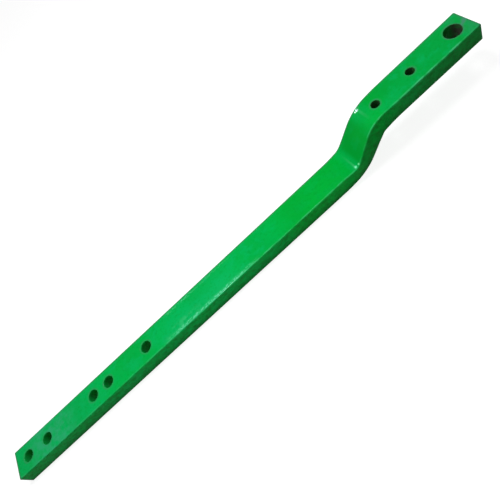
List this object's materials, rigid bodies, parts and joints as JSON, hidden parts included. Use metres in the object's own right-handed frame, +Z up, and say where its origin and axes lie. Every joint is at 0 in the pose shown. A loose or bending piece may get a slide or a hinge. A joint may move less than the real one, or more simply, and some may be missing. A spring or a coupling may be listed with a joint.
{
  "type": "tractor drawbar",
  "caption": "Flat steel drawbar with a pressed double bend near the hitch end and round pin and bolt holes through its thickness, painted green.",
  "frame": {"origin": "centre of the hitch pin hole, half way through the bar's thickness", "axes": "+X along the bar and out past the hitch end, +Y across its width, +Z up along the hitch pin hole"},
  "size_m": [1.257, 0.0694, 0.1],
  "materials": {
    "green_enamel": "glossy green enamel over rolled steel"
  },
  "bodies": {
    "root": {"drawbar": "green_enamel"}
  },
  "joints": []
}
